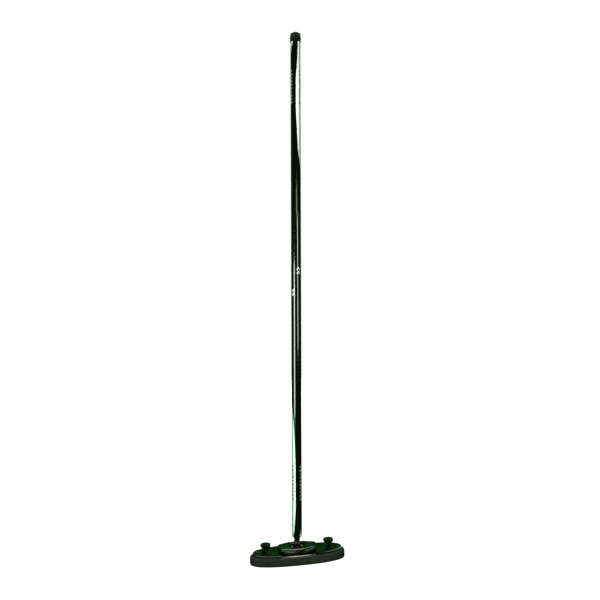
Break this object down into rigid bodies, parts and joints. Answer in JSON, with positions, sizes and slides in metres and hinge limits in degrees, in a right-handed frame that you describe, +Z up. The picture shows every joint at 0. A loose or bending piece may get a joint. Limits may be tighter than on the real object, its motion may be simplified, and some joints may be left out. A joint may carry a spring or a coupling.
{
  "type": "curling broom",
  "caption": "Curling broom: oval fabric-faced brush pad locked to a black carrier, swivelling and tilting head joint, long glossy handle with a rubber end cap.",
  "frame": {"origin": "on the floor, in the middle of the brush pad's flat underside, below the tilt pin", "axes": "+Z up along the standing handle, +X along the head's long side towards its right end, +Y towards the head's back long edge"},
  "size_m": [0.224, 0.07, 1.241],
  "materials": {
    "cover_fabric": "matte",
    "pad_foam": "matte",
    "plate_plastic": "matte",
    "head_plastic": "satin",
    "knob_plastic": "satin",
    "joint_metal": "satin",
    "bearing_nylon": "satin",
    "steel": "polished",
    "brass": "polished",
    "shaft_lacquer": "gloss",
    "cap_rubber": "matte"
  },
  "bodies": {
    "head": {"pad_cover": "cover_fabric", "foam_pad": "pad_foam", "pad_base_plate": "plate_plastic", "carrier_plate": "head_plastic", "pivot_turret": "head_plastic", "turret_screw_1": "steel", "turret_screw_2": "steel", "turret_screw_3": "steel", "turret_screw_4": "steel", "thrust_washer": "bearing_nylon", "retaining_ring": "head_plastic", "ring_screw_left": "steel", "ring_screw_right": "brass", "ring_screw_front": "brass", "left_knob_collar": "knob_plastic", "right_knob_collar": "knob_plastic", "left_knob_spring": "joint_metal", "right_knob_spring": "joint_metal"},
    "swivel": {"swivel_yoke": "head_plastic", "tilt_pin": "joint_metal", "tilt_pin_clip": "steel", "friction_washer_front": "bearing_nylon", "friction_washer_back": "bearing_nylon"},
    "handle": {"pivot_tang": "joint_metal", "ferrule": "knob_plastic", "ferrule_rivet_lower": "joint_metal", "ferrule_rivet_upper": "joint_metal", "shaft_tube": "shaft_lacquer", "top_plug": "plate_plastic", "end_cap": "cap_rubber"},
    "left_plunger": {"left_spring_washer": "joint_metal"},
    "left_knob": {"left_knob_cap": "knob_plastic", "left_knob_spindle": "steel", "left_locking_bar": "steel"},
    "right_plunger": {"right_spring_washer": "joint_metal"},
    "right_knob": {"right_knob_cap": "knob_plastic", "right_knob_spindle": "steel", "right_locking_bar": "steel"}
  },
  "joints": [
    {"name": "head_swivel", "type": "hinge", "parent": "head", "child": "swivel", "pos_m": [0, 0, 0.0264], "axis": [0, 0, 1], "continuous": true},
    {"name": "handle_tilt", "type": "hinge", "parent": "swivel", "child": "handle", "pos_m": [0, 0, 0.04], "axis": [0, 1, 0], "range_deg": [-67.3, 62.7]},
    {"name": "left_knob_press", "type": "slide", "parent": "head", "child": "left_plunger", "axis": [0, 0, -1], "range_m": [0, 0.002], "stiffness_N_per_m": 800, "springref_m": -0.004, "deforming": ["left_knob_spring"]},
    {"name": "left_knob_turn", "type": "hinge", "parent": "left_plunger", "child": "left_knob", "pos_m": [-0.0743, 0, 0.04], "axis": [0, 0, 1], "range_deg": [0, 90]},
    {"name": "right_knob_press", "type": "slide", "parent": "head", "child": "right_plunger", "axis": [0, 0, -1], "range_m": [0, 0.002], "stiffness_N_per_m": 800, "springref_m": -0.004, "deforming": ["right_knob_spring"]},
    {"name": "right_knob_turn", "type": "hinge", "parent": "right_plunger", "child": "right_knob", "pos_m": [0.0743, 0, 0.04], "axis": [0, 0, 1], "range_deg": [0, 90]}
  ]
}
